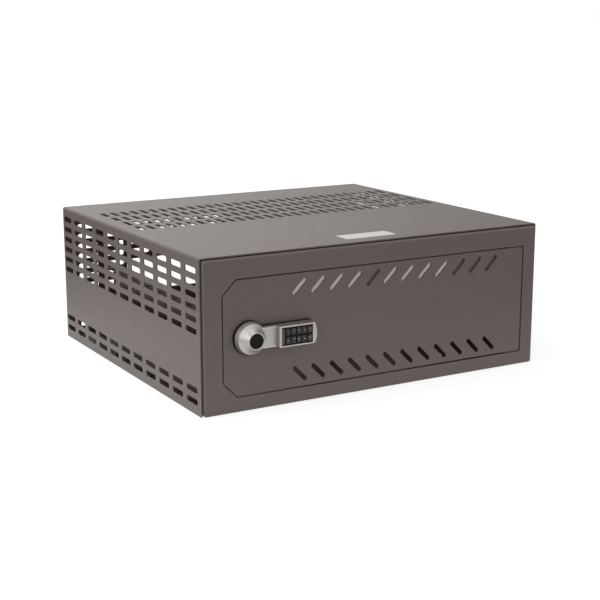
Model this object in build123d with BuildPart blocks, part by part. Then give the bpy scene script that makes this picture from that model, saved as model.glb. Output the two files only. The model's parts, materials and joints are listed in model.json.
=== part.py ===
from build123d import *
import os
from math import sqrt

# A lockable steel cabinet for a video recorder, in millimetres.
# X runs to the right, the door faces -Y, Z runs up, and the origin is the centre of the base's underside.

# Cabinet
cabinet_width = 470
cabinet_depth = 430
cabinet_height = 180
shell_sheet = 1.5
frame_sheet = 2
base_sheet = 2
bend_radius = 3
half_width = cabinet_width / 2
front_y = -cabinet_depth / 2
rear_y = cabinet_depth / 2
cut_margin = 1  # how far a cutting solid runs past the sheet that it cuts

# Ventilation slots, punched with one tool on one pitch
vent_length = 28
vent_width = 7
vent_corner = 2.5
vent_long_pitch = 38.4
vent_short_pitch = 13.76
side_vent_columns = 11
side_vent_centre_y = 3.4
upper_row_count = 6
lower_row_count = 2
upper_rows_top_z = 164.7
lower_rows_bottom_z = 14.5
top_vent_columns = 32
top_vent_rows = 4
top_vent_pitch_x = 13.86
top_vent_centre_x = 3.5
top_vent_centre_y = side_vent_centre_y + 1.5 * vent_long_pitch

# Rear wall
rear_lip = 12
back_vent_left_x = -201
back_vent_columns = 6
back_side_columns = 2
back_upper_rows = 4
back_side_rows = 3
cable_opening_x = -9
cable_opening_width = 270
cable_opening_height = 46
cable_opening_z = 76
cable_opening_corner = 4

# Front frame, a folded tray inside the shell, which stands proud of the shell's edges with a groove all round
groove = 1.2
frame_proud = 4
frame_flange = 14
joggle = 2
frame_edge_radius = 2.5
frame_half_width = half_width - shell_sheet - groove
frame_height = cabinet_height - shell_sheet - groove

# Door and its opening
opening_left = -210
opening_right = 214
opening_bottom = 17
opening_top = 154
opening_corner_cut = 18
opening_corner_radius = 6
door_gap = 1.8
door_sheet = 3
door_edge_radius = 0.7
door_mid_z = (opening_bottom + opening_top) / 2
door_back_y = front_y + door_sheet
frame_back_y = front_y + frame_sheet
door_slot_count = 12
door_slot_length = 25
door_slot_width = 5.8
door_slot_pitch = 24.8
door_slot_centre_x = 26
door_slot_offset_z = 51.2

# Hinge: a vertical axis behind the door, near its right edge
hinge_x = opening_right - door_gap - 14
hinge_y = front_y + 5.5
hinge_plate = 3
hinge_leaf = 2
hinge_pin_radius = 2
running_clearance = 0.05
parting = 0.3

# Lock: distances called depth are measured out from the door's face
lock_x = -177
lock_z = door_mid_z
sleeve_radius = 11
flange_radius = 14
flange_depth = 2.6
sleeve_end_y = front_y + 8.8
nut_thickness = 4.5
nut_across_corners = 32.4
spindle_radius = 5
spindle_top_depth = 12
cam_thickness = 3
cam_reach = 45
cam_width = 18
cam_square = 7
cam_front_y = sleeve_end_y + parting
cam_back_y = cam_front_y + cam_thickness
cam_screw_radius = 2
cover_bottom_depth = 0.6
cover_top_depth = 3.1
hub_radius = 19.2
hub_side_depth = 4.6
hub_rim_radius = 17.5
hub_rim_depth = 10
hub_flare_middle = (13.6, 14.4)
hub_ring_radius = 10.4
hub_ring_depth = 19.4
hub_height = 20.4
hub_round = 0.3
cap_radius = 8.8
cap_play = 0.05
cap_floor_depth = 17.6
cap_edge_depth = 19.9
cap_centre_depth = 19.5
neck_depth = 12
block_depth = 18
arm_half_height = 12.25
block_start = 30
arm_length = 78
arm_bulge = 2.8
neck_edge_radius = 2
block_end_radius = 4
block_edge_radius = 1
pin_offset = 10
pin_radius = 1
solenoid_radius = 3.4
solenoid_bottom_depth = 4.4
solenoid_top_depth = 12.6
screw_places = [(27, 0), (arm_length, 0)]
screw_radius = 1
screw_length = 5.5
screw_head_radius = 2
screw_head_height = 1

# Keypad in the end of the lever
window_left = 33.2
window_width = 40
window_height = 21.2
window_centre = window_left + window_width / 2
panel_back_depth = 15.9
panel_front_depth = 17.5
key_columns = 5
key_rows = 2
key_pitch_x = 6.95
key_pitch_z = 10
key_width = 5.75
key_height = 8
key_corner = 1.6
key_front_depth = 18.1
key_flange_depth = 0.6
key_flange_overlap = 0.45
keys_centre = 55.2
light_offset = 35.6
light_width = 0.8
light_height = 18
light_rise = 0.3

os.makedirs("parts", exist_ok=True)


def facing_front(y, x=0, z=0):
    """A drawing plane seen from the front: local X runs right, local Y up, and solids grow forwards."""
    return Plane(origin=(x, y, z), x_dir=(1, 0, 0), z_dir=(0, -1, 0))


def lock_plane(depth):
    """A drawing plane centred on the lock's axis, at a depth in front of the door's face."""
    return facing_front(front_y - depth, lock_x, lock_z)


lock_axis = Axis((lock_x, front_y, lock_z), (0, -1, 0))
lock_section = Plane(origin=(lock_x, front_y, lock_z), x_dir=(1, 0, 0), z_dir=(0, 0, -1))


def draw_vents(centre, pitches, counts, length_first):
    """Adds a grid of ventilation slots to the sketch in hand."""
    size = (vent_length, vent_width) if length_first else (vent_width, vent_length)
    with Locations(centre):
        with GridLocations(*pitches, *counts):
            RectangleRounded(*size, vent_corner)


def draw_door_outline(sketch, gap):
    """Adds the door opening's outline, drawn in by a gap, with its two cut corners at the left."""
    width = opening_right - opening_left - 2 * gap
    height = opening_top - opening_bottom - 2 * gap
    with Locations(((opening_left + opening_right) / 2, door_mid_z)):
        Rectangle(width, height)
    chamfer(sketch.vertices().group_by(Axis.X)[0], opening_corner_cut - gap * (2 - sqrt(2)))
    cut_corners = sketch.vertices().group_by(Axis.X)[0] + sketch.vertices().group_by(Axis.X)[1]
    fillet(cut_corners, opening_corner_radius - gap)


# Outer shell: top, two sides and a narrow rear lip, folded from one perforated sheet
with BuildPart() as outer_shell:
    with BuildSketch(Plane.XZ.offset(-rear_y)):
        Rectangle(cabinet_width, cabinet_height, align=(Align.CENTER, Align.MIN))
    extrude(amount=cabinet_depth - frame_proud)
    top_bends = outer_shell.edges().filter_by(Axis.Y).group_by(Axis.Z)[-1]
    rear_bends = outer_shell.edges().group_by(Axis.Y)[-1].sort_by(Axis.Z)[1:]
    fillet(top_bends + rear_bends, bend_radius)
    open_front = outer_shell.faces().sort_by(Axis.Y)[0]
    open_bottom = outer_shell.faces().sort_by(Axis.Z)[0]
    offset(amount=-shell_sheet, openings=[open_front, open_bottom])
    with BuildSketch(facing_front(rear_y + cut_margin)):
        lipped_height = cabinet_height - rear_lip + cut_margin
        with Locations((0, lipped_height / 2 - cut_margin)):
            Rectangle(cabinet_width - 2 * rear_lip, lipped_height)
    extrude(amount=shell_sheet + 2 * cut_margin, mode=Mode.SUBTRACT)
    with BuildSketch(Plane.YZ):
        upper_centre_z = upper_rows_top_z - (upper_row_count - 1) / 2 * vent_short_pitch
        lower_centre_z = lower_rows_bottom_z + (lower_row_count - 1) / 2 * vent_short_pitch
        side_pitches = (vent_long_pitch, vent_short_pitch)
        for centre_z, row_count in ((upper_centre_z, upper_row_count), (lower_centre_z, lower_row_count)):
            draw_vents((side_vent_centre_y, centre_z), side_pitches, (side_vent_columns, row_count), True)
    extrude(amount=half_width + cut_margin, both=True, mode=Mode.SUBTRACT)
    with BuildSketch(Plane.XY.offset(cabinet_height + cut_margin)):
        top_centre = (top_vent_centre_x, top_vent_centre_y)
        top_pitches = (top_vent_pitch_x, vent_long_pitch)
        draw_vents(top_centre, top_pitches, (top_vent_columns, top_vent_rows), False)
    extrude(amount=-(shell_sheet + 2 * cut_margin), mode=Mode.SUBTRACT)

# Front frame: a tray with rounded edges, joggled outwards at its rear to meet the shell
with BuildPart() as front_frame:
    with BuildSketch(facing_front(front_y + frame_flange)):
        Rectangle(2 * frame_half_width, frame_height, align=(Align.CENTER, Align.MIN))
    extrude(amount=frame_flange)
    fillet(front_frame.edges().filter_by(Axis.Y), frame_edge_radius)
    fillet(front_frame.edges().group_by(Axis.Y)[0], frame_edge_radius)
    open_back = front_frame.faces().sort_by(Axis.Y)[-1]
    offset(amount=-frame_sheet, openings=[open_back])
    with BuildSketch(facing_front(front_y + frame_sheet + cut_margin)) as opening_sketch:
        draw_door_outline(opening_sketch, 0)
    extrude(amount=frame_sheet + 2 * cut_margin, mode=Mode.SUBTRACT)
    with BuildSketch(facing_front(front_y + frame_flange)):
        joggle_size = (2 * (half_width - shell_sheet), cabinet_height - shell_sheet)
        Rectangle(*joggle_size, align=(Align.CENTER, Align.MIN))
        with Locations((0, frame_sheet)):
            inner_height = frame_height - 2 * frame_sheet
            inner_width = 2 * (frame_half_width - frame_sheet)
            Rectangle(inner_width, inner_height, align=(Align.CENTER, Align.MIN), mode=Mode.SUBTRACT)
    extrude(amount=joggle)
    joggle_corners = front_frame.edges().filter_by(Axis.Y).group_by(Axis.Z)[-1]
    fillet(joggle_corners, bend_radius - shell_sheet)

# Base: a plate between the sides with its side edges turned up, and four anchor holes
base_front_y = front_y + frame_flange
base_back_y = rear_y - 2 * shell_sheet
base_half_width = half_width - shell_sheet
base_flange_height = 9
anchor_spacing_x = 300
anchor_spacing_y = 260
anchor_radius = 4.5
with BuildPart() as base_plate:
    with BuildSketch(Plane.XZ.offset(-base_back_y)):
        Rectangle(2 * base_half_width, base_flange_height, align=(Align.CENTER, Align.MIN))
        with Locations((0, base_sheet)):
            hollow_width = 2 * (base_half_width - base_sheet)
            Rectangle(hollow_width, base_flange_height, align=(Align.CENTER, Align.MIN), mode=Mode.SUBTRACT)
    extrude(amount=base_back_y - base_front_y)
    with Locations((0, 0, base_sheet)):
        with GridLocations(anchor_spacing_x, anchor_spacing_y, 2, 2):
            Hole(anchor_radius)

# Back panel: welded inside the shell's rear lip, vented on its left half, with a wide opening for cables
back_panel_y = rear_y - shell_sheet
with BuildPart() as back_panel:
    with BuildSketch(facing_front(back_panel_y)):
        with Locations((0, base_sheet)):
            inner_bend = bend_radius - shell_sheet
            panel_height = cabinet_height - shell_sheet - base_sheet - inner_bend
            Rectangle(2 * (base_half_width - inner_bend), panel_height, align=(Align.CENTER, Align.MIN))
        second_row_z = upper_rows_top_z - vent_short_pitch
        upper_back_z = second_row_z - (back_upper_rows - 1) / 2 * vent_short_pitch
        side_back_z = second_row_z - (back_upper_rows + (back_side_rows - 1) / 2) * vent_short_pitch
        vent_blocks = [
            (upper_back_z, back_vent_columns, back_upper_rows),
            (side_back_z, back_side_columns, back_side_rows),
            (lower_rows_bottom_z, back_vent_columns, 1),
        ]
        for centre_z, columns, rows in vent_blocks:
            with Locations((back_vent_left_x + (columns - 1) / 2 * vent_long_pitch, centre_z)):
                with GridLocations(vent_long_pitch, vent_short_pitch, columns, rows):
                    RectangleRounded(vent_length, vent_width, vent_corner, mode=Mode.SUBTRACT)
        with Locations((cable_opening_x, cable_opening_z)):
            RectangleRounded(
                cable_opening_width, cable_opening_height, cable_opening_corner, mode=Mode.SUBTRACT
            )
    extrude(amount=shell_sheet)

# Guard plates: upright screens close behind the side walls, which keep tools off the recorder
guard_sheet = 1.5
guard_offset = 17
guard_flange = 10
guard_top_z = 120
guard_front_y = front_y + 19
guard_back_y = 75
guard_inner_x = half_width - guard_offset
with BuildPart() as right_guard_plate:
    with BuildSketch(Plane.XZ.offset(-guard_back_y)):
        with Locations((guard_inner_x, base_sheet)):
            guard_height = guard_top_z - base_sheet
            Rectangle(guard_flange, guard_height, align=(Align.MIN, Align.MIN))
        with Locations((guard_inner_x + guard_sheet, base_sheet + guard_sheet)):
            Rectangle(
                guard_flange, guard_height - 2 * guard_sheet, align=(Align.MIN, Align.MIN), mode=Mode.SUBTRACT
            )
    extrude(amount=guard_back_y - guard_front_y)

with BuildPart() as left_guard_plate:
    mirror(right_guard_plate.part, about=Plane.YZ)

# Blank rating label on the top, near the front
label_length = 70
label_width = 27
label_corner = 2
label_thickness = 0.2
label_x = 2
label_from_front = 37
with BuildPart() as blank_label:
    with BuildSketch(Plane.XY.offset(cabinet_height)):
        with Locations((label_x, front_y + label_from_front)):
            RectangleRounded(label_length, label_width, label_corner)
    extrude(amount=label_thickness)

# Striker: a channel behind the frame's left stile, which the cam turns behind
striker_sheet = 2
striker_left = frame_edge_radius - frame_half_width
striker_right = -212
striker_clearance = 0.5
striker_back_y = cam_front_y - striker_clearance
striker_height = 50
with BuildPart() as striker:
    with BuildSketch(Plane.XY.offset(lock_z - striker_height / 2)):
        with Locations((striker_left, frame_back_y)):
            striker_depth = striker_back_y - frame_back_y
            Rectangle(striker_right - striker_left, striker_depth, align=(Align.MIN, Align.MIN))
        with Locations((striker_left + striker_sheet, frame_back_y + striker_sheet)):
            Rectangle(
                striker_right - striker_left,
                striker_depth - 2 * striker_sheet,
                align=(Align.MIN, Align.MIN),
                mode=Mode.SUBTRACT,
            )
    extrude(amount=striker_height)

# Door stops: two stepped tabs behind the left stile that hold the closed door flush
stop_height = 14
stop_front_y = door_back_y + parting
stop_back_y = stop_front_y + 2
stop_reach = 7
stop_spacing = 78
stop_setback = 1
with BuildPart() as door_stops:
    for side in (-1, 1):
        stop_bottom_z = door_mid_z + side * stop_spacing / 2 - stop_height / 2
        with BuildSketch(Plane.XY.offset(stop_bottom_z)):
            with BuildLine():
                Polyline(
                    (striker_left, frame_back_y),
                    (opening_left - stop_setback, frame_back_y),
                    (opening_left - stop_setback, stop_front_y),
                    (opening_left + stop_reach, stop_front_y),
                    (opening_left + stop_reach, stop_back_y),
                    (striker_left, stop_back_y),
                    close=True,
                )
            make_face()
        extrude(amount=stop_height)

# Top rebate: a stepped strip behind the frame's top rail that closes the gap above the door
rebate_left = -190
rebate_right = 172
rebate_overlap = 5
rebate_rise = 8
with BuildPart() as top_rebate:
    with BuildSketch(Plane.YZ.offset(rebate_left)):
        with BuildLine():
            rebate_bottom_z = opening_top - door_gap - rebate_overlap
            Polyline(
                (frame_back_y, opening_top + rebate_rise),
                (frame_back_y, opening_top + stop_setback),
                (stop_front_y, opening_top + stop_setback),
                (stop_front_y, rebate_bottom_z),
                (stop_back_y, rebate_bottom_z),
                (stop_back_y, opening_top + rebate_rise),
                close=True,
            )
        make_face()
    extrude(amount=rebate_right - rebate_left)

# Hinge brackets: a level plate on the frame's back that holds the pin, below and above the door
door_bottom_z = opening_bottom + door_gap
bracket_top_z = door_bottom_z - parting
bracket_bottom_z = bracket_top_z - hinge_plate
bracket_left = hinge_x - 8
bracket_right = hinge_x + 24
bracket_back_y = hinge_y + 7
leaf_bottom_z = frame_edge_radius
with BuildPart() as lower_hinge_bracket:
    with BuildSketch(Plane.XY.offset(bracket_bottom_z)):
        with Locations((bracket_left, frame_back_y)):
            bracket_depth = bracket_back_y - frame_back_y
            Rectangle(bracket_right - bracket_left, bracket_depth, align=(Align.MIN, Align.MIN))
        with Locations((hinge_x, hinge_y)):
            Circle(hinge_pin_radius, mode=Mode.SUBTRACT)
    extrude(amount=hinge_plate)
    with BuildSketch(Plane.XY.offset(leaf_bottom_z)):
        with Locations((bracket_left, frame_back_y)):
            Rectangle(bracket_right - bracket_left, hinge_leaf, align=(Align.MIN, Align.MIN))
    extrude(amount=bracket_bottom_z - leaf_bottom_z)

door_mid_plane = Plane.XY.offset(door_mid_z)
with BuildPart() as upper_hinge_bracket:
    mirror(lower_hinge_bracket.part, about=door_mid_plane)

# Hinge guard: a strip on edge behind the right stile, just clear of the door's swing, that closes the gap there
hinge_guard_sheet = 1.5
hinge_guard_back_y = front_y + 17
with BuildPart() as hinge_guard:
    with BuildSketch(Plane.XY.offset(door_bottom_z)):
        with Locations((opening_right, frame_back_y)):
            hinge_guard_depth = hinge_guard_back_y - frame_back_y
            Rectangle(hinge_guard_sheet, hinge_guard_depth, align=(Align.MIN, Align.MIN))
    extrude(amount=2 * (door_mid_z - door_bottom_z))

# Hinge pins, pressed into the brackets
pin_top_z = door_bottom_z + hinge_plate + 1.6
hinge_pin_chamfer = 0.5
with BuildPart() as hinge_pins:
    with BuildSketch(Plane.XY.offset(bracket_bottom_z)):
        with Locations((hinge_x, hinge_y)):
            Circle(hinge_pin_radius)
    extrude(amount=pin_top_z - bracket_bottom_z)
    chamfer(hinge_pins.edges().group_by(Axis.Z)[-1], hinge_pin_chamfer)
    mirror(about=door_mid_plane)

# Door: a flat plate with two rows of slanting slots, mirrored about its middle
with BuildPart() as door_panel:
    with BuildSketch(facing_front(door_back_y)) as door_sketch:
        draw_door_outline(door_sketch, door_gap)
    extrude(amount=door_sheet)
    fillet(door_panel.faces().sort_by(Axis.Y)[0].edges(), door_edge_radius)
    with BuildSketch(facing_front(door_back_y + cut_margin)):
        for side in (-1, 1):
            with Locations((door_slot_centre_x, door_mid_z + side * door_slot_offset_z)):
                with GridLocations(door_slot_pitch, 1, door_slot_count, 1):
                    SlotOverall(door_slot_length, door_slot_width, rotation=side * 45)
        with Locations((lock_x, lock_z)):
            Circle(sleeve_radius)
    extrude(amount=door_sheet + 2 * cut_margin, mode=Mode.SUBTRACT)

# Filter strips: two pale strips of felt glued behind the upper slots, four slots each
filter_thickness = 1
filter_top_z = rebate_bottom_z - parting
filter_bottom_z = 126.5
filter_margin = 12
filter_slot_count = 4
first_filter_slots = (0, 5)
with BuildPart() as filter_strips:
    first_slot_x = door_slot_centre_x - (door_slot_count - 1) / 2 * door_slot_pitch
    filter_length = (filter_slot_count - 1) * door_slot_pitch + 2 * filter_margin
    with BuildSketch(facing_front(door_back_y + filter_thickness)):
        for slot_number in first_filter_slots:
            with Locations((first_slot_x + slot_number * door_slot_pitch - filter_margin, filter_bottom_z)):
                Rectangle(filter_length, filter_top_z - filter_bottom_z, align=(Align.MIN, Align.MIN))
    extrude(amount=filter_thickness)

# Hinge ears: angle pieces welded to the door, bored for a running fit on the pins
ear_left = hinge_x - 18
ear_right = hinge_x + 5
ear_back_y = hinge_y + 6
ear_height = 22
ear_leaf_width = hinge_x - 5 - ear_left
with BuildPart() as lower_hinge_ear:
    with BuildSketch(Plane.XY.offset(door_bottom_z)):
        with Locations((ear_left, door_back_y)):
            Rectangle(ear_right - ear_left, ear_back_y - door_back_y, align=(Align.MIN, Align.MIN))
    extrude(amount=hinge_plate)
    with BuildSketch(Plane.XY.offset(door_bottom_z + hinge_plate)):
        with Locations((ear_left, door_back_y)):
            Rectangle(ear_leaf_width, hinge_leaf, align=(Align.MIN, Align.MIN))
    extrude(amount=ear_height - hinge_plate)
    with Locations((hinge_x, hinge_y, door_bottom_z + hinge_plate)):
        Hole(hinge_pin_radius + running_clearance)

with BuildPart() as upper_hinge_ear:
    mirror(lower_hinge_ear.part, about=door_mid_plane)

# Lock housing: a flanged sleeve through the door, with the spindle's bore and two holes for the pin
pin_hole_radius = pin_radius + parting
pin_hole_depth = 2
flange_chamfer = 0.5
with BuildPart() as lock_housing:
    with BuildSketch(lock_plane(0)):
        Circle(flange_radius)
    extrude(amount=flange_depth)
    with BuildSketch(lock_plane(0)):
        Circle(sleeve_radius)
    extrude(amount=front_y - sleeve_end_y)
    with BuildSketch(lock_plane(flange_depth + cut_margin)):
        Circle(spindle_radius + running_clearance)
    extrude(amount=-(flange_depth + sleeve_end_y - front_y + 2 * cut_margin), mode=Mode.SUBTRACT)
    with BuildSketch(lock_plane(flange_depth)):
        with Locations((pin_offset, 0), (0, pin_offset)):
            Circle(pin_hole_radius)
    extrude(amount=-pin_hole_depth, mode=Mode.SUBTRACT)
    chamfer(lock_housing.faces().sort_by(Axis.Y)[0].outer_wire().edges(), flange_chamfer)

with BuildPart() as lock_nut:
    with BuildSketch(facing_front(door_back_y, lock_x, lock_z)):
        RegularPolygon(nut_across_corners / 2, 6)
        Circle(sleeve_radius, mode=Mode.SUBTRACT)
    extrude(amount=-nut_thickness)

# Lever: a flared hub, a low neck and a raised keypad block, cast in one piece
with BuildPart() as handle_body:
    with BuildSketch(lock_section):
        with BuildLine():
            hub_side = Polyline(
                (0, cover_top_depth),
                (hub_radius, cover_top_depth),
                (hub_radius, hub_side_depth),
                (hub_rim_radius, hub_rim_depth),
            )
            hub_flare = ThreePointArc(hub_side @ 1, hub_flare_middle, (hub_ring_radius, hub_ring_depth))
            Polyline(
                hub_flare @ 1,
                (hub_ring_radius - 2 * hub_round, hub_height),
                (cap_radius + hub_round, hub_height),
                (cap_radius, hub_height - hub_round),
                (cap_radius, cap_floor_depth),
                (0, cap_floor_depth),
                (0, cover_top_depth),
            )
        make_face()
    revolve(axis=lock_axis)
    with BuildSketch(lock_plane(cover_top_depth)):
        with Locations((block_start / 2, 0)):
            Rectangle(block_start, 2 * arm_half_height)
    extrude(amount=neck_depth - cover_top_depth)
    neck_edges = handle_body.edges().filter_by(Axis.X).group_by(Axis.Y)[0]
    fillet(neck_edges, neck_edge_radius)
    with BuildSketch(lock_plane(cover_top_depth)):
        with BuildLine():
            Polyline(
                (arm_length, arm_half_height),
                (block_start, arm_half_height),
                (block_start, -arm_half_height),
                (arm_length, -arm_half_height),
            )
            ThreePointArc(
                (arm_length, -arm_half_height), (arm_length + arm_bulge, 0), (arm_length, arm_half_height)
            )
        make_face()
    extrude(amount=block_depth - cover_top_depth)
    block_front_y = front_y - block_depth
    block_face = handle_body.faces().filter_by_position(Axis.Y, block_front_y - 0.1, block_front_y + 0.1)
    fillet(block_face.edges().sort_by(Axis.X)[-1], block_end_radius)
    block_sides = handle_body.edges().filter_by(Axis.X).group_by(Axis.Y)[0]
    fillet(block_sides, block_edge_radius)
    with BuildSketch(lock_plane(cover_top_depth)):
        with Locations((window_centre, 0)):
            Rectangle(window_width, window_height)
    extrude(amount=block_depth, mode=Mode.SUBTRACT)
    with BuildSketch(lock_plane(cover_top_depth)):
        Circle(spindle_radius)
    extrude(amount=spindle_top_depth - cover_top_depth, mode=Mode.SUBTRACT)
    with BuildSketch(lock_plane(cover_top_depth)):
        with Locations((pin_offset, 0)):
            Circle(solenoid_radius)
    extrude(amount=solenoid_top_depth - cover_top_depth, mode=Mode.SUBTRACT)
    with BuildSketch(lock_plane(cover_top_depth)):
        with Locations(*screw_places):
            Circle(screw_radius)
    screw_tip_depth = cover_bottom_depth + screw_head_height + screw_length
    extrude(amount=screw_tip_depth - cover_top_depth, mode=Mode.SUBTRACT)

# Back cover of the lever: a black tray a little wider than the lever, just clear of the door
cover_overhang = 0.7
cover_half = arm_half_height + cover_overhang
cover_length = arm_length + cover_overhang / 2
with BuildPart() as handle_back_cover:
    with BuildSketch(lock_plane(cover_bottom_depth)):
        Circle(hub_radius + cover_overhang)
        with BuildLine():
            cover_corners = [(0, cover_half), (0, -cover_half)]
            Polyline((cover_length, cover_half), *cover_corners, (cover_length, -cover_half))
            cover_tip = (arm_length + arm_bulge + cover_overhang, 0)
            ThreePointArc((cover_length, -cover_half), cover_tip, (cover_length, cover_half))
        make_face()
        Circle(flange_radius + parting, mode=Mode.SUBTRACT)
    extrude(amount=cover_top_depth - cover_bottom_depth)
    with BuildSketch(lock_plane(cover_bottom_depth)):
        with Locations(*screw_places):
            Circle(screw_radius)
    extrude(amount=cover_top_depth, mode=Mode.SUBTRACT)
    with BuildSketch(lock_plane(cover_bottom_depth)):
        with Locations(*screw_places):
            Circle(screw_head_radius)
    extrude(amount=screw_head_height, mode=Mode.SUBTRACT)

with BuildPart() as handle_screws:
    with BuildSketch(lock_plane(cover_bottom_depth)):
        with Locations(*screw_places):
            Circle(screw_head_radius)
    extrude(amount=screw_head_height)
    with BuildSketch(lock_plane(cover_bottom_depth + screw_head_height)):
        with Locations(*screw_places):
            Circle(screw_radius)
    extrude(amount=screw_length)

# Black cap in the middle of the hub, over the emergency lock
with BuildPart() as centre_cap:
    with BuildSketch(lock_section):
        with BuildLine():
            Polyline(
                (0, cap_floor_depth),
                (cap_radius - cap_play, cap_floor_depth),
                (cap_radius - cap_play, cap_edge_depth - hub_round),
                (cap_radius - cap_play - hub_round, cap_edge_depth),
                (0, cap_centre_depth),
                close=True,
            )
        make_face()
    revolve(axis=lock_axis)

# Spindle, cam and their fixings, which turn with the lever
stub_depth = cam_thickness - 0.2
cam_eye_radius = 11
cam_end_radius = 4
washer_radius = 6.5
washer_thickness = 1
screw_hole_depth = 11
cam_screw_length = 10
cam_head_radius = 3.6
cam_head_height = 2.8
cam_head_round = 0.6
with BuildPart() as spindle:
    with BuildSketch(lock_plane(spindle_top_depth)):
        Circle(spindle_radius)
    extrude(amount=-(spindle_top_depth + cam_front_y - front_y))
    with BuildSketch(facing_front(cam_front_y, lock_x, lock_z)):
        Rectangle(cam_square, cam_square)
    extrude(amount=-stub_depth)
    with BuildSketch(facing_front(cam_back_y, lock_x, lock_z)):
        Circle(cam_screw_radius)
    extrude(amount=screw_hole_depth, mode=Mode.SUBTRACT)

with BuildPart() as cam:
    with BuildSketch(facing_front(cam_back_y, lock_x, lock_z)) as cam_sketch:
        Circle(cam_eye_radius)
        Rectangle(cam_width, cam_reach, align=(Align.CENTER, Align.MIN))
        fillet(cam_sketch.vertices().group_by(Axis.Y)[-1], cam_end_radius)
        Rectangle(cam_square, cam_square, mode=Mode.SUBTRACT)
    extrude(amount=cam_thickness)

with BuildPart() as cam_washer:
    with BuildSketch(facing_front(cam_back_y, lock_x, lock_z)):
        Circle(washer_radius)
        Circle(cam_screw_radius, mode=Mode.SUBTRACT)
    extrude(amount=-washer_thickness)

with BuildPart() as cam_screw:
    with BuildSketch(facing_front(cam_back_y + washer_thickness, lock_x, lock_z)):
        Circle(cam_screw_radius)
    extrude(amount=cam_screw_length)
    with BuildSketch(facing_front(cam_back_y + washer_thickness, lock_x, lock_z)):
        Circle(cam_head_radius)
    extrude(amount=-cam_head_height)
    fillet(cam_screw.edges().group_by(Axis.Y)[-1], cam_head_round)

# Solenoid in the hub and the pin that it drives into the lock housing's flange
pin_tip_depth = 3.5
pin_length = 7
pin_bore_length = 6.6
pin_chamfer = 0.3
with BuildPart() as lock_solenoid:
    with BuildSketch(lock_plane(solenoid_bottom_depth)):
        with Locations((pin_offset, 0)):
            Circle(solenoid_radius)
    extrude(amount=solenoid_top_depth - solenoid_bottom_depth)
    with BuildSketch(lock_plane(solenoid_bottom_depth)):
        with Locations((pin_offset, 0)):
            Circle(pin_radius + running_clearance)
    extrude(amount=pin_bore_length, mode=Mode.SUBTRACT)

with BuildPart() as locking_pin:
    with BuildSketch(lock_plane(pin_tip_depth)):
        with Locations((pin_offset, 0)):
            Circle(pin_radius)
    extrude(amount=pin_length)
    chamfer(locking_pin.edges().group_by(Axis.Y)[-1], pin_chamfer)

# Keypad: front panel, status light, key mat, circuit board and cell, stacked behind the window
panel_play = 0.1
with BuildPart() as keypad_panel:
    with BuildSketch(lock_plane(panel_back_depth)):
        with Locations((window_centre, 0)):
            Rectangle(window_width - panel_play, window_height - panel_play)
        with Locations((keys_centre, 0)):
            with GridLocations(key_pitch_x, key_pitch_z, key_columns, key_rows):
                key_window = (key_width + 2 * parting, key_height + 2 * parting)
                RectangleRounded(*key_window, key_corner + parting, mode=Mode.SUBTRACT)
        with Locations((light_offset, 0)):
            Rectangle(light_width, light_height, mode=Mode.SUBTRACT)
    extrude(amount=panel_front_depth - panel_back_depth)

with BuildPart() as status_light:
    with BuildSketch(lock_plane(panel_back_depth)):
        with Locations((light_offset, 0)):
            Rectangle(light_width, light_height)
    extrude(amount=panel_front_depth - panel_back_depth + light_rise)

mat_front_depth = 13.8
mat_back_depth = 12.6
mat_sheet = 0.7
mat_dome_radius = 2
board_play = 0.4
board_back_depth = 11.2
with BuildPart() as key_mat:
    with BuildSketch(lock_plane(mat_back_depth)):
        with Locations((window_centre, 0)):
            Rectangle(window_width - board_play, window_height - board_play)
    extrude(amount=mat_sheet)
    with BuildSketch(lock_plane(mat_back_depth + mat_sheet)):
        with Locations((keys_centre, 0)):
            with GridLocations(key_pitch_x, key_pitch_z, key_columns, key_rows):
                Circle(mat_dome_radius)
    extrude(amount=mat_front_depth - mat_back_depth - mat_sheet)

with BuildPart() as circuit_board:
    with BuildSketch(lock_plane(board_back_depth)):
        with Locations((window_centre, 0)):
            Rectangle(window_width - board_play, window_height - board_play)
    extrude(amount=mat_back_depth - board_back_depth)

cell_radius = 10
cell_thickness = 3.2
cell_back_depth = 7.2
cell_chamfer = 0.4
with BuildPart() as battery_cell:
    with BuildSketch(lock_plane(cell_back_depth)):
        with Locations((window_centre, 0)):
            Circle(cell_radius)
    extrude(amount=cell_thickness)
    chamfer(battery_cell.edges().group_by(Axis.Y)[0], cell_chamfer)

# Ten keys, each with a flange behind the panel that keeps it in
key_digits = "1234567890"
key_edge_radius = 0.5
key_parts = {}
flange_front = panel_back_depth - parting
for index, digit in enumerate(key_digits):
    key_u = keys_centre + (index % key_columns - (key_columns - 1) / 2) * key_pitch_x
    key_v = (0.5 - index // key_columns) * key_pitch_z
    with BuildPart() as key:
        with BuildSketch(lock_plane(flange_front - key_flange_depth)):
            with Locations((key_u, key_v)):
                flange_size = (key_width + 2 * key_flange_overlap, key_height + 2 * key_flange_overlap)
                RectangleRounded(*flange_size, key_corner)
        extrude(amount=key_flange_depth)
        with BuildSketch(lock_plane(flange_front)):
            with Locations((key_u, key_v)):
                RectangleRounded(key_width, key_height, key_corner)
        extrude(amount=key_front_depth - flange_front)
        fillet(key.edges().group_by(Axis.Y)[0], key_edge_radius)
    key_parts[f"key_{digit}"] = key

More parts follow.
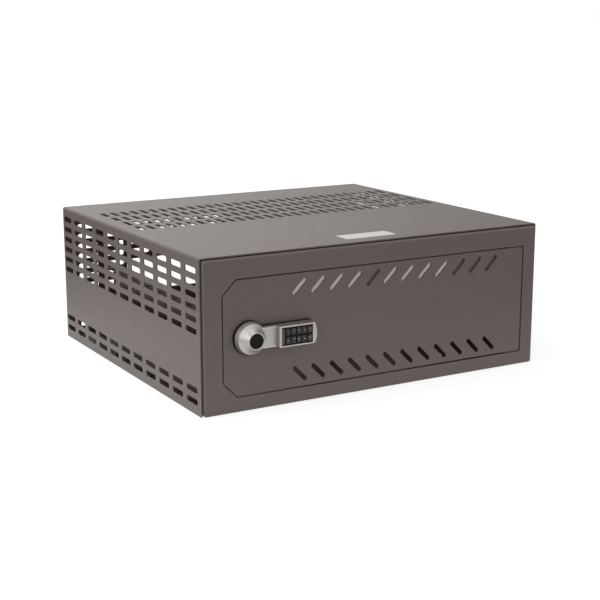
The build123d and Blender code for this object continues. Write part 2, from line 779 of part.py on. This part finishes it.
pieces = {
    "outer_shell": outer_shell,
    "front_frame": front_frame,
    "base_plate": base_plate,
    "back_panel": back_panel,
    "left_guard_plate": left_guard_plate,
    "right_guard_plate": right_guard_plate,
    "blank_label": blank_label,
    "striker": striker,
    "door_stops": door_stops,
    "top_rebate": top_rebate,
    "lower_hinge_bracket": lower_hinge_bracket,
    "upper_hinge_bracket": upper_hinge_bracket,
    "hinge_guard": hinge_guard,
    "hinge_pins": hinge_pins,
    "door_panel": door_panel,
    "filter_strips": filter_strips,
    "lower_hinge_ear": lower_hinge_ear,
    "upper_hinge_ear": upper_hinge_ear,
    "lock_housing": lock_housing,
    "lock_nut": lock_nut,
    "handle_body": handle_body,
    "handle_back_cover": handle_back_cover,
    "handle_screws": handle_screws,
    "centre_cap": centre_cap,
    "spindle": spindle,
    "cam": cam,
    "cam_washer": cam_washer,
    "cam_screw": cam_screw,
    "lock_solenoid": lock_solenoid,
    "locking_pin": locking_pin,
    "keypad_panel": keypad_panel,
    "status_light": status_light,
    "key_mat": key_mat,
    "circuit_board": circuit_board,
    "battery_cell": battery_cell,
    **key_parts,
}
for name, piece in pieces.items():
    piece.part.label = name
    export_step(piece.part, f"parts/{name}.step")
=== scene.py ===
import json
import math

import bpy
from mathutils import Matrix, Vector


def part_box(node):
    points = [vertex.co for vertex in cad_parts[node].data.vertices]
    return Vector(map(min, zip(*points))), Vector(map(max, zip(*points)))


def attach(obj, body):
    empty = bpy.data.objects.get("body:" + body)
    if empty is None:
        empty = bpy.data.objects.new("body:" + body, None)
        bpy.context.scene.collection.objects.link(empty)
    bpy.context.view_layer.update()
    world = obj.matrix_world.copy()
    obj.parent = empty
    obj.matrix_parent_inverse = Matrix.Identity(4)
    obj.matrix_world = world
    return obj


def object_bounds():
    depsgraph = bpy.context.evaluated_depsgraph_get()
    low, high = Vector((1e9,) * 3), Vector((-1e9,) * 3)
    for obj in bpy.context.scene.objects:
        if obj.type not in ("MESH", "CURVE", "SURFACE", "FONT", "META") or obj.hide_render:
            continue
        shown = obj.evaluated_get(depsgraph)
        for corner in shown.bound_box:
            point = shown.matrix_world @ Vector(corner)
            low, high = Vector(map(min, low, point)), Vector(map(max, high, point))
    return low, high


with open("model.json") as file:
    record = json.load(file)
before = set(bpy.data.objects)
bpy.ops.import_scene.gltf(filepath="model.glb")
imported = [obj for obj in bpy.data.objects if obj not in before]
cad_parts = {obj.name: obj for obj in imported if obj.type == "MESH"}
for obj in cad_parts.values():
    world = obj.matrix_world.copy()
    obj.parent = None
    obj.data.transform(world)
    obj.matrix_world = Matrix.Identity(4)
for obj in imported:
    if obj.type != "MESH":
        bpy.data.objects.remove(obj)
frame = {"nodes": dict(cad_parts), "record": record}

# A lockable steel cabinet for a video recorder, dressed for a plain studio picture. Sizes are in metres.
nodes = frame["nodes"]
cad_low, cad_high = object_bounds()
scene = bpy.context.scene
scene.view_settings.view_transform = "Standard"

# Camera: three-quarter view from the front left, a little above the top
camera_place = (-0.8251, -1.4488, 0.4480)
camera_yaw = math.radians(30.084)
camera_pitch = math.radians(12.921)
camera_lens_mm = 77.29
camera_sensor_mm = 36

# Studio light. Each wall light is a soft patch of the surroundings: its azimuth from straight behind the
# object towards the right, its elevation, and how far it reaches from its middle, in degrees.
wall_lights = {
    "overhead": (0, 90, 75),
    "behind": (12, 8, 32),
    "behind_right": (60, 15, 40),
    "right": (100, 20, 45),
    "front_right": (150, 25, 45),
    "front_left": (205, 25, 45),
    "left": (270, 25, 50),
    "behind_left": (330, 20, 45),
}
light_levels = {
    "all_round": 0.08,
    "overhead": 0.05,
    "behind": 1.25,
    "behind_right": 0.05,
    "right": 0.9,
    "front_right": 0.1,
    "front_left": 1.0,
    "left": 0.25,
    "behind_left": 0.1,
    "floor": 1.0,
    "top_softbox": 0.40,
    "left_softbox": 0.55,
}
softboxes = {
    "top_softbox": ((-0.3, 0.3, 1.9), (1.6, 1.6)),
    "left_softbox": ((-1.9, -0.3, 1.0), (2.0, 1.8)),
}
softbox_target = (0, 0, 0.1)
softbox_power = 20

# Grey card that shades the white backdrop in reflections: its azimuth, elevation and reach in degrees, and
# how far it takes the white down in its middle
card_place = (68, 15, 45)
card_depth = 0.7

# Floor: its plain colour lights the object. Reflections show it glow white nearby and fade to grey far off.
# The camera sees a paler glow on a colour that still takes the object's shadow.
floor_size = 24.0
floor_drop = 0.0004
floor_colour = (0.80, 0.797, 0.79, 1)
floor_mirrored_colour = (0.30, 0.30, 0.30, 1)
floor_seen_colour = (0.55, 0.55, 0.55, 1)
floor_seen_glow = (0.73, 0.82)
floor_near = 0.35
floor_far = 0.95

# Finishes: how far painted highlights on edges (with wear on the paint) and painted shade in crevices
# reach, and how strongly they show
paint_edge_wear_and_highlight = (0.0012, 0.6)
paint_crevice_shade = (0.006, 0.28)
metal_edge_highlight = (0.0006, 0.6)
metal_crevice_shade = (0.003, 0.4)
grain_height = 0.0002
roughness_spread = 0.05

# The part of a noise texture's range that most of its values lie in
noise_span = (0.3, 0.7)
whole_span = (0.0, 1.0)


def set_inputs(tree, made, inputs):
    """Gives each named or numbered input of a node a value, or links it to a socket."""
    for key, value in inputs.items():
        socket = made.inputs[key]
        if isinstance(value, bpy.types.NodeSocket):
            tree.links.new(value, socket)
        else:
            socket.default_value = value


def add_node(tree, kind, inputs=None, **settings):
    """A new node with its settings and inputs in place."""
    made = tree.nodes.new(kind)
    for key, value in settings.items():
        setattr(made, key, value)
    set_inputs(tree, made, inputs or {})
    return made


def calculate(tree, operation, *values):
    """The socket of a Math node that works on two or three values or sockets."""
    made = add_node(tree, "ShaderNodeMath", dict(enumerate(values)), operation=operation)
    return made.outputs[0]


def remap(tree, value, source, target, smooth=False):
    """The socket of a clamped Map Range node."""
    inputs = {
        "Value": value,
        "From Min": source[0],
        "From Max": source[1],
        "To Min": target[0],
        "To Max": target[1],
    }
    kind = "SMOOTHSTEP" if smooth else "LINEAR"
    return add_node(tree, "ShaderNodeMapRange", inputs, interpolation_type=kind).outputs["Result"]


def mix_colours(tree, factor, first, second):
    """The socket of a colour that goes from first to second as factor goes from 0 to 1."""
    made = add_node(tree, "ShaderNodeMix", data_type="RGBA")
    set_inputs(tree, made, {0: factor, 6: first, 7: second})
    return made.outputs[2]


def noise(tree, place, scale, detail=2.0, roughness=0.5):
    """The socket of a noise texture's value."""
    inputs = {"Vector": place, "Scale": scale, "Detail": detail, "Roughness": roughness}
    return add_node(tree, "ShaderNodeTexNoise", inputs).outputs[0]


def object_place(tree):
    """The socket of the surface's own coordinates, which move with the piece."""
    return add_node(tree, "ShaderNodeTexCoord").outputs["Object"]


def bump(tree, height, strength, distance):
    """The socket of a normal raised by a height pattern."""
    inputs = {"Height": height, "Strength": strength, "Distance": distance}
    return add_node(tree, "ShaderNodeBump", inputs).outputs["Normal"]


def edge_wear_and_highlight_mask(tree, radius, strength):
    """A socket that rises from 0 on flat faces to a given strength along sharp and rounded edges, for wear
    and painted highlights.
    """
    rounded = add_node(tree, "ShaderNodeBevel", {"Radius": radius}, samples=4).outputs["Normal"]
    plain = add_node(tree, "ShaderNodeNewGeometry").outputs["Normal"]
    made = add_node(tree, "ShaderNodeVectorMath", {0: rounded, 1: plain}, operation="DOT_PRODUCT")
    mask = remap(tree, made.outputs["Value"], (0.99, 0.80), whole_span)
    return calculate(tree, "MULTIPLY", mask, strength)


def painted_crevice_shade(tree, reach, strength):
    """Painted shade: a socket that rises from 0 on open faces to a given strength inside slots, gaps and
    corners.
    """
    openness = add_node(tree, "ShaderNodeAmbientOcclusion", {"Distance": reach}, samples=8).outputs["AO"]
    mask = remap(tree, openness, (0.95, 0.30), whole_span)
    return calculate(tree, "MULTIPLY", mask, strength)


def new_material(name):
    """An empty node material with its shader and output, and its tree."""
    material = bpy.data.materials.new(name)
    material.use_nodes = True
    tree = material.node_tree
    tree.nodes.clear()
    shader = add_node(tree, "ShaderNodeBsdfPrincipled")
    add_node(tree, "ShaderNodeOutputMaterial", {"Surface": shader.outputs[0]})
    return material, tree, shader


def make_paint():
    """Warm grey powder coat: satin, with a fine orange peel, slight changes of tone, thin edges lighter by
    wear and by a painted highlight, and painted shade in slots, gaps and corners.
    """
    material, tree, shader = new_material("powder_coat")
    place = object_place(tree)
    broad = noise(tree, place, 5.0, 2.0)
    fine = noise(tree, place, 240.0, 3.0)
    peel = noise(tree, place, 1100.0, 2.0)
    drift = remap(tree, broad, (0.35, 0.65), whole_span)
    tone = mix_colours(tree, drift, (0.156, 0.124, 0.112, 1), (0.148, 0.118, 0.105, 1))
    speckle = remap(tree, fine, noise_span, (0.0, 0.12))
    tone = mix_colours(tree, speckle, tone, (0.20, 0.17, 0.155, 1))
    # Edges lighter by wear, and by a painted highlight
    worn_and_highlit = mix_colours(tree, edge_wear_and_highlight_mask(tree, *paint_edge_wear_and_highlight), tone, (0.30, 0.27, 0.25, 1))
    # Painted shade: slots, gaps and corners darkened towards near black
    painted_shade = painted_crevice_shade(tree, *paint_crevice_shade)
    inputs = {
        "Base Color": mix_colours(tree, painted_shade, worn_and_highlit, (0.02, 0.017, 0.015, 1)),
        "Roughness": remap(tree, fine, noise_span, (0.36, 0.46)),
        "Normal": bump(tree, peel, 0.12, 0.0003),
        "Specular IOR Level": 0.44,
    }
    set_inputs(tree, shader, inputs)
    return material


def make_satin_metal():
    """Die-cast lever with a satin nickel finish, with a painted highlight along its edges and painted shade
    in its crevices.
    """
    material, tree, shader = new_material("satin_nickel")
    place = object_place(tree)
    grain = noise(tree, place, 1500.0, 2.0)
    cloud = noise(tree, place, 60.0, 3.0)
    nickel = mix_colours(tree, cloud, (0.45, 0.42, 0.405, 1), (0.52, 0.49, 0.47, 1))
    # Painted highlight: the edges lightened towards pale nickel
    nickel = mix_colours(tree, edge_wear_and_highlight_mask(tree, *metal_edge_highlight), nickel, (0.85, 0.82, 0.80, 1))
    # Painted shade: crevices darkened towards dark grey
    painted_metal_shade = painted_crevice_shade(tree, *metal_crevice_shade)
    inputs = {
        "Base Color": mix_colours(tree, painted_metal_shade, nickel, (0.20, 0.18, 0.17, 1)),
        "Metallic": 1.0,
        "Roughness": remap(tree, cloud, noise_span, (0.40, 0.48)),
        "Normal": bump(tree, grain, 0.06, grain_height),
    }
    set_inputs(tree, shader, inputs)
    return material


def make_zinc_steel():
    """Zinc-plated steel with a faint spangle and scratches."""
    material, tree, shader = new_material("zinc_plate")
    place = object_place(tree)
    spangle = add_node(tree, "ShaderNodeTexVoronoi", {"Vector": place, "Scale": 160.0}).outputs["Color"]
    cloud = noise(tree, place, 90.0, 4.0)
    grey = add_node(tree, "ShaderNodeSeparateColor", {0: spangle}).outputs[0]
    inputs = {
        "Base Color": mix_colours(tree, grey, (0.48, 0.48, 0.46, 1), (0.62, 0.62, 0.60, 1)),
        "Metallic": 1.0,
        "Roughness": remap(tree, cloud, noise_span, (0.28, 0.48)),
        "Normal": bump(tree, cloud, 0.08, grain_height),
    }
    set_inputs(tree, shader, inputs)
    return material


def make_plastic(name, dark, light, roughness, scale, strength, gloss=0.5):
    """Moulded plastic, rubber, ink or film with a fine grain."""
    material, tree, shader = new_material(name)
    place = object_place(tree)
    grain = noise(tree, place, scale, 2.0)
    cloud = noise(tree, place, scale / 12, 2.0)
    rough_values = (roughness - roughness_spread, roughness + roughness_spread)
    inputs = {
        "Base Color": mix_colours(tree, cloud, dark, light),
        "Roughness": remap(tree, grain, noise_span, rough_values),
        "Normal": bump(tree, grain, strength, grain_height),
        "Specular IOR Level": gloss,
    }
    set_inputs(tree, shader, inputs)
    return material


def make_felt():
    """Pale filter felt: short tangled fibres, matt, with a slight sheen."""
    material, tree, shader = new_material("filter_felt")
    place = object_place(tree)
    fibres = noise(tree, place, 900.0, 4.0, 0.7)
    cloud = noise(tree, place, 70.0, 2.0)
    pale = mix_colours(tree, cloud, (0.86, 0.82, 0.79, 1), (0.92, 0.88, 0.85, 1))
    tangle = remap(tree, fibres, noise_span, whole_span)
    inputs = {
        "Base Color": mix_colours(tree, tangle, (0.78, 0.74, 0.71, 1), pale),
        "Roughness": 0.95,
        "Sheen Weight": 0.3,
        "Normal": bump(tree, fibres, 0.5, 0.0006),
    }
    set_inputs(tree, shader, inputs)
    return material


materials = {
    "felt": make_felt(),
    "paint": make_paint(),
    "satin_metal": make_satin_metal(),
    "zinc_steel": make_zinc_steel(),
    "black_plastic": make_plastic(
        "black_plastic", (0.005, 0.004, 0.004, 1), (0.008, 0.007, 0.007, 1), 0.5, 1600, 0.1, 0.15
    ),
    "key_plastic": make_plastic(
        "key_plastic", (0.005, 0.004, 0.004, 1), (0.009, 0.008, 0.008, 1), 0.5, 2200, 0.1, 0.15
    ),
    "key_ink": make_plastic("key_ink", (0.40, 0.38, 0.37, 1), (0.48, 0.46, 0.45, 1), 0.55, 1800, 0.05),
    "key_rubber": make_plastic("key_rubber", (0.05, 0.05, 0.05, 1), (0.08, 0.08, 0.08, 1), 0.7, 1800, 0.1),
    "light_guide": make_plastic(
        "light_guide", (0.24, 0.22, 0.21, 1), (0.28, 0.26, 0.25, 1), 0.3, 900, 0.03
    ),
    "circuit_board": make_plastic(
        "circuit_board", (0.02, 0.09, 0.045, 1), (0.03, 0.14, 0.06, 1), 0.35, 700, 0.05
    ),
    "label": make_plastic("label_film", (0.84, 0.80, 0.78, 1), (0.90, 0.86, 0.84, 1), 0.4, 1200, 0.04),
}


def dress_nodes():
    """Gives every CAD node the material of its slot in the record."""
    for part in frame["record"]["subparts"]:
        piece = nodes[part["node"]]
        if not piece.material_slots:
            piece.data.materials.append(None)
        for holder in piece.material_slots:
            holder.link = "OBJECT"
            holder.material = materials[part["material_slot"]]


def add_piece(name, points, faces, body, material, smooth=False):
    """A mesh piece that rides on a body and takes its finish from a slot."""
    mesh = bpy.data.meshes.new(name)
    mesh.from_pydata(points, [], faces)
    mesh.update()
    if smooth:
        mesh.shade_smooth()
    else:
        mesh.shade_flat()
    mesh.materials.append(material)
    piece = bpy.data.objects.new(name, mesh)
    scene.collection.objects.link(piece)
    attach(piece, body)


# Print on the keys: a thin outline and one plain number
key_face = (0.00575, 0.0080)
key_corner = 0.0016
print_inset = 0.0007
print_width = 0.0002
print_thickness = 0.00005
digit_height = 0.0032
font_size_per_height = 1.4


def rounded_outline(width, height, radius, steps=6):
    """The corner points of a rectangle with round corners, centred on the origin."""
    outline = []
    for quarter, (side_u, side_v) in enumerate(((1, 1), (-1, 1), (-1, -1), (1, -1))):
        centre_u = side_u * (width / 2 - radius)
        centre_v = side_v * (height / 2 - radius)
        for step in range(steps + 1):
            angle = (quarter + step / steps) * math.pi / 2
            outline.append((centre_u + radius * math.cos(angle), centre_v + radius * math.sin(angle)))
    return outline


def outline_band(centre, front_y):
    """The points and faces of a thin raised band round a key's face."""
    loops = []
    for inset, y in (
        (print_inset, front_y),
        (print_inset, front_y - print_thickness),
        (print_inset + print_width, front_y - print_thickness),
        (print_inset + print_width, front_y),
    ):
        outline = rounded_outline(key_face[0] - 2 * inset, key_face[1] - 2 * inset, key_corner - inset)
        loops.append([(centre.x + u, y, centre.z + v) for u, v in outline])
    count = len(loops[0])
    points = [point for loop in loops for point in loop]
    faces = []
    for ring in range(4):
        start, after = ring * count, (ring + 1) % 4 * count
        for index in range(count):
            beside = (index + 1) % count
            faces.append((start + index, start + beside, after + beside, after + index))
    return points, faces


def digit_solid(digit, centre, front_y):
    """The points and faces of a thin raised number."""
    writing = bpy.data.curves.new("digit", "FONT")
    writing.body = digit
    writing.size = digit_height * font_size_per_height
    writing.extrude = print_thickness / 2
    writing.align_x = "CENTER"
    writing.align_y = "CENTER"
    holder = bpy.data.objects.new("digit", writing)
    mesh = bpy.data.meshes.new_from_object(holder)
    middle_y = front_y - print_thickness / 2
    places = [vertex.co for vertex in mesh.vertices]
    points = [(centre.x + place.x, middle_y - place.z, centre.z + place.y) for place in places]
    faces = [tuple(face.vertices) for face in mesh.polygons]
    bpy.data.objects.remove(holder)
    bpy.data.curves.remove(writing)
    bpy.data.meshes.remove(mesh)
    return points, faces


def print_keys():
    """Gives each key its outline and its number."""
    for digit in "1234567890":
        low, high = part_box(f"key_{digit}")
        centre = (low + high) / 2
        points, faces = outline_band(centre, low.y)
        more_points, more_faces = digit_solid(digit, centre, low.y)
        faces += [tuple(index + len(points) for index in face) for face in more_faces]
        points += more_points
        add_piece(f"key_{digit}_print", points, faces, f"key_{digit}", materials["key_ink"])


# Painted strips on the door's back, behind the upper slots that the two felts leave free
felt_gap = 0.0256
cover_clearance = 0.0003
cover_corner = 0.002
cover_chamfer = 0.0003
ear_clearance = 0.005


def add_slot_covers():
    """One strip between the two felts, and one from the right felt to the hinge ear."""
    low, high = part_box("filter_strips")
    ear_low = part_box("upper_hinge_ear")[0]
    middle_x = (low.x + high.x) / 2
    reach = felt_gap / 2 - cover_clearance
    spans = {
        "slot_cover_middle": (middle_x - reach, middle_x + reach),
        "slot_cover_right": (high.x + cover_clearance, ear_low.x - ear_clearance),
    }
    height = high.z - low.z
    centre_z = (low.z + high.z) / 2
    for name, (start_x, end_x) in spans.items():
        points = []
        width = end_x - start_x
        centre_x = (start_x + end_x) / 2
        for inset, y in ((0, low.y), (0, high.y - cover_chamfer), (cover_chamfer, high.y)):
            outline = rounded_outline(width - 2 * inset, height - 2 * inset, cover_corner - inset)
            points += [(centre_x + u, y, centre_z + v) for u, v in outline]
        count = len(points) // 3
        faces = [tuple(range(count)), tuple(range(2 * count, 3 * count))[::-1]]
        for start in (0, count):
            for index in range(count):
                beside = (index + 1) % count
                faces.append((start + index, start + count + index, start + count + beside, start + beside))
        add_piece(name, points, faces, "door", materials["paint"])


# Weld beads on the inside of the frame and the door
weld_radius = 0.0013
weld_ripple = 0.0016
weld_sides = 10
rings_per_ripple = 4
fewest_rings = 8
blunt_end = 0.02
ripple_depth = 0.1
weld_margin = 0.002
weld_right_end = -0.212
stitch_length = 0.016
rebate_stitches = 6
rebate_margin = 0.01
guard_stitches = 4
guard_margin = 0.006


def add_weld(name, start, end, body):
    """A rippled bead, half sunk into the corner that it fills, with rounded ends."""
    start, end = Vector(start), Vector(end)
    along = (end - start).normalized()
    across = along.orthogonal().normalized()
    upright = along.cross(across)
    length = (end - start).length
    rings = max(fewest_rings, int(length / weld_ripple * rings_per_ripple))
    points = []
    for ring in range(rings + 1):
        run = ring / rings * length
        from_end = min(run, length - run, weld_radius)
        swell = math.sqrt(max(blunt_end, 1 - (1 - from_end / weld_radius) ** 2))
        ripple = 1 - ripple_depth + ripple_depth * math.cos(2 * math.pi * run / weld_ripple)
        for side in range(weld_sides):
            angle = side / weld_sides * 2 * math.pi
            spread = across * math.cos(angle) + upright * math.sin(angle)
            points.append(start + along * run + spread * weld_radius * swell * ripple)
    last_ring = rings * weld_sides
    faces = [tuple(range(weld_sides))[::-1], tuple(range(last_ring, last_ring + weld_sides))]
    for ring in range(rings):
        for side in range(weld_sides):
            beside = (side + 1) % weld_sides
            low, high = ring * weld_sides, (ring + 1) * weld_sides
            faces.append((low + side, low + beside, high + beside, high + side))
    points = [tuple(point) for point in points]
    add_piece(name, points, faces, body, materials["paint"], smooth=True)


def weld_along(name, x, y, start_z, end_z, body):
    """An upright bead, short of both ends of the edge that it follows."""
    add_weld(name, (x, y, start_z + weld_margin), (x, y, end_z - weld_margin), body)


def stitch_starts(low, high, margin, count):
    """Where each of a row of equal stitches starts, spread evenly between two ends."""
    reach = high - low - 2 * margin - stitch_length
    return [low + margin + number / (count - 1) * reach for number in range(count)]


def add_welds():
    """Beads at the striker, the stops, the rebate, the hinge guard and the hinge parts."""
    for name, node in (("striker", "striker"), ("stop", "door_stops")):
        low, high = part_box(node)
        end_x = min(high.x, weld_right_end) - weld_margin
        for side, z in (("lower", low.z), ("upper", high.z)):
            add_weld(f"{name}_weld_{side}", (low.x + weld_margin, low.y, z), (end_x, low.y, z), "cabinet")
    low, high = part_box("top_rebate")
    for number, x in enumerate(stitch_starts(low.x, high.x, rebate_margin, rebate_stitches), 1):
        add_weld(f"rebate_weld_{number}", (x, low.y, high.z), (x + stitch_length, low.y, high.z), "cabinet")
    low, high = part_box("hinge_guard")
    for number, z in enumerate(stitch_starts(low.z, high.z, guard_margin, guard_stitches), 1):
        add_weld(f"guard_weld_{number}", (high.x, low.y, z), (high.x, low.y, z + stitch_length), "cabinet")
    for side in ("lower", "upper"):
        low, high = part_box(f"{side}_hinge_bracket")
        for place, x in (("left", low.x), ("right", high.x)):
            weld_along(f"{side}_bracket_weld_{place}", x, low.y, low.z, high.z, "cabinet")
        low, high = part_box(f"{side}_hinge_ear")
        weld_along(f"{side}_ear_weld", low.x, low.y, low.z, high.z, "door")


def add_camera():
    """The camera that stands where the photograph was taken."""
    data = bpy.data.cameras.new("photo_camera")
    data.lens = camera_lens_mm
    data.sensor_width = camera_sensor_mm
    camera = bpy.data.objects.new("photo_camera", data)
    camera.location = camera_place
    camera.rotation_euler = (math.pi / 2 - camera_pitch, 0, -camera_yaw)
    scene.collection.objects.link(camera)
    scene.camera = camera


def add_softboxes():
    """Large soft lamps aimed at the object."""
    for name, (place, size) in softboxes.items():
        data = bpy.data.lights.new(name, "AREA")
        data.shape = "RECTANGLE"
        data.size, data.size_y = size
        data.energy = softbox_power * light_levels[name]
        light = bpy.data.objects.new(name, data)
        light.location = place
        aim = Vector(softbox_target) - Vector(place)
        light.rotation_euler = aim.to_track_quat("-Z", "Y").to_euler()
        scene.collection.objects.link(light)


def soft_patch(tree, direction, place, around_value, middle_value):
    """A socket that goes from one value to another towards the middle of a round patch of the world."""
    azimuth, elevation, reach = (math.radians(angle) for angle in place)
    middle = (
        math.sin(azimuth) * math.cos(elevation),
        math.cos(azimuth) * math.cos(elevation),
        math.sin(elevation),
    )
    facing = add_node(tree, "ShaderNodeVectorMath", {0: direction, 1: middle}, operation="DOT_PRODUCT")
    values = (around_value, middle_value)
    return remap(tree, facing.outputs["Value"], (math.cos(reach), 1.0), values, smooth=True)


def add_world():
    """Soft patches of light on an even level, with a white backdrop for the camera and in reflections."""
    world = bpy.data.worlds.new("studio")
    scene.world = world
    world.use_nodes = True
    tree = world.node_tree
    tree.nodes.clear()
    direction = add_node(tree, "ShaderNodeTexCoord").outputs["Generated"]
    level = light_levels["all_round"]
    for name, place in wall_lights.items():
        level = calculate(tree, "ADD", level, soft_patch(tree, direction, place, 0.0, light_levels[name]))
    path = add_node(tree, "ShaderNodeLightPath").outputs
    mirrored = calculate(tree, "MAXIMUM", path["Is Glossy Ray"], path["Is Transmission Ray"])
    card = soft_patch(tree, direction, card_place, 1.0, 1.0 - card_depth)
    seen = calculate(tree, "MAXIMUM", path["Is Camera Ray"], calculate(tree, "MULTIPLY", mirrored, card))
    strength = calculate(tree, "MAXIMUM", level, seen)
    background = add_node(tree, "ShaderNodeBackground", {"Color": (1, 1, 1, 1), "Strength": strength})
    add_node(tree, "ShaderNodeOutputWorld", {"Surface": background.outputs[0]})


def add_floor():
    """A pale floor without a horizon that takes a faint shadow of the object."""
    half = floor_size / 2
    level = cad_low.z - floor_drop
    corners = [(-half, -half, level), (half, -half, level), (half, half, level), (-half, half, level)]
    mesh = bpy.data.meshes.new("studio_floor")
    mesh.from_pydata(corners, [], [(0, 1, 2, 3)])
    floor = bpy.data.objects.new("studio_floor", mesh)
    scene.collection.objects.link(floor)
    material = bpy.data.materials.new("studio_floor")
    material.use_nodes = True
    tree = material.node_tree
    tree.nodes.clear()
    path = add_node(tree, "ShaderNodeLightPath").outputs
    mirrored = calculate(tree, "MAXIMUM", path["Is Glossy Ray"], path["Is Transmission Ray"])
    length = add_node(tree, "ShaderNodeVectorMath", {0: object_place(tree)}, operation="LENGTH")
    distance = length.outputs["Value"]
    glow = remap(tree, distance, (floor_near, floor_far), (light_levels["floor"], 0.0), smooth=True)
    glow = calculate(tree, "MULTIPLY", glow, mirrored)
    seen_glow = remap(tree, distance, (floor_near, floor_far), floor_seen_glow, smooth=True)
    glow = calculate(tree, "MULTIPLY_ADD", path["Is Camera Ray"], seen_glow, glow)
    matt_colour = mix_colours(tree, mirrored, floor_colour, floor_mirrored_colour)
    matt_colour = mix_colours(tree, path["Is Camera Ray"], matt_colour, floor_seen_colour)
    matt = add_node(tree, "ShaderNodeBsdfDiffuse", {"Color": matt_colour}).outputs[0]
    light = add_node(tree, "ShaderNodeEmission", {"Color": (1, 1, 1, 1), "Strength": glow}).outputs[0]
    both = add_node(tree, "ShaderNodeAddShader", {0: matt, 1: light}).outputs[0]
    add_node(tree, "ShaderNodeOutputMaterial", {"Surface": both})
    mesh.materials.append(material)


add_camera()
add_world()
add_floor()
add_softboxes()
dress_nodes()
print_keys()
add_slot_covers()
add_welds()
